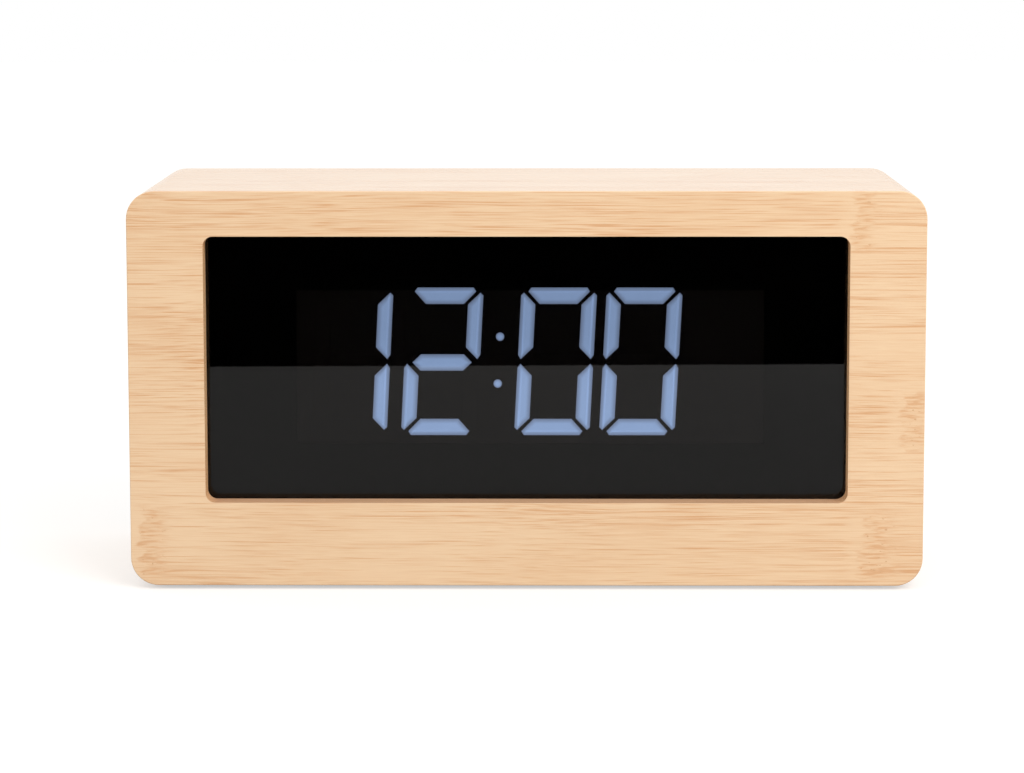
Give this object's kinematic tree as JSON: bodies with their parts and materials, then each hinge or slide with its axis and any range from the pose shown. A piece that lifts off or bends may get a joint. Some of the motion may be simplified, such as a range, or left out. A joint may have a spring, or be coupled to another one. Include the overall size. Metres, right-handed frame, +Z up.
{
  "type": "desk clock",
  "caption": "Box-shaped bamboo desk clock with a recessed smoked lens, slanted LED digits, and a moulded rear cover with push buttons and a hinged battery door.",
  "frame": {"origin": "under the middle of the case, on the plane the feet stand on", "axes": "+X to the viewer's right along the width, +Y to the rear, +Z up; the display faces -Y"},
  "size_m": [0.2, 0.075, 0.101],
  "materials": {
    "bamboo": "satin lacquered bamboo, fine horizontal grain",
    "block_wood": "plain sawn",
    "rubber": "matt",
    "smoked_lens": "polished smoked acrylic",
    "black_tape": "matt foam tape",
    "black_moulding": "fine spark-eroded texture",
    "reflector_black": "matt black face",
    "lit_segment": "milky resin, lit pale blue",
    "dark_segment": "milky resin, unlit",
    "circuit_board": "green solder mask",
    "lamp_chip": "resin",
    "screw_steel": "blackened steel",
    "cell_jacket": "gloss jacket",
    "contact_metal": "bright nickel",
    "switch_plastic": "matt",
    "buzzer_plastic": "matt",
    "socket_steel": "bright drawn steel",
    "socket_plastic": "matt",
    "chip_plastic": "matt",
    "can_metal": "satin",
    "connector_plastic": "satin ivory",
    "ribbon_plastic": "satin grey",
    "button_plastic": "satin",
    "plunger_plastic": "satin"
  },
  "bodies": {
    "case": {"front_panel": "bamboo", "top_board": "bamboo", "right_board": "bamboo", "bottom_board": "bamboo", "left_board": "bamboo", "corner_blocks": "block_wood", "rubber_feet": "rubber", "lens": "smoked_lens", "lens_tape": "black_tape", "display_frame": "black_moulding", "segment_reflector": "reflector_black", "hour_tens_lit_segments": "lit_segment", "hour_tens_dark_segments": "dark_segment", "hour_units_lit_segments": "lit_segment", "hour_units_dark_segments": "dark_segment", "minute_tens_lit_segments": "lit_segment", "minute_tens_dark_segments": "dark_segment", "minute_units_lit_segments": "lit_segment", "minute_units_dark_segments": "dark_segment", "colon_dots": "lit_segment", "display_board": "circuit_board", "main_board": "circuit_board", "segment_leds": "lamp_chip", "frame_screws": "screw_steel", "display_board_screws": "screw_steel", "main_board_screws": "screw_steel", "cover_screws": "screw_steel", "rear_cover": "black_moulding", "cells": "cell_jacket", "positive_contacts": "contact_metal", "negative_contacts": "contact_metal", "switch_bodies": "switch_plastic", "buzzer": "buzzer_plastic", "power_socket": "socket_steel", "socket_tongue": "socket_plastic", "controller_chip": "chip_plastic", "clock_crystal": "can_metal", "capacitor": "can_metal", "display_connector": "connector_plastic", "main_connector": "connector_plastic", "ribbon_cable": "ribbon_plastic"},
    "mode_button": {"mode_button": "button_plastic", "mode_plunger": "plunger_plastic"},
    "alarm_button": {"alarm_button": "button_plastic", "alarm_plunger": "plunger_plastic"},
    "up_button": {"up_button": "button_plastic", "up_plunger": "plunger_plastic"},
    "down_button": {"down_button": "button_plastic", "down_plunger": "plunger_plastic"},
    "light_button": {"light_button": "button_plastic", "light_plunger": "plunger_plastic"},
    "battery_door": {"battery_door": "black_moulding"}
  },
  "joints": [
    {"name": "mode_press", "type": "slide", "parent": "case", "child": "mode_button", "axis": [0, -1, 0], "range_m": [0, 0.0007], "stiffness_N_per_m": 1500},
    {"name": "alarm_press", "type": "slide", "parent": "case", "child": "alarm_button", "axis": [0, -1, 0], "range_m": [0, 0.0007], "stiffness_N_per_m": 1500},
    {"name": "up_press", "type": "slide", "parent": "case", "child": "up_button", "axis": [0, -1, 0], "range_m": [0, 0.0007], "stiffness_N_per_m": 1500},
    {"name": "down_press", "type": "slide", "parent": "case", "child": "down_button", "axis": [0, -1, 0], "range_m": [0, 0.0007], "stiffness_N_per_m": 1500},
    {"name": "light_press", "type": "slide", "parent": "case", "child": "light_button", "axis": [0, -1, 0], "range_m": [0, 0.0007], "stiffness_N_per_m": 1500},
    {"name": "door_hinge", "type": "hinge", "parent": "case", "child": "battery_door", "pos_m": [0, 0.0351, 0.01921], "axis": [-1, 0, 0], "range_deg": [0, 95]}
  ]
}
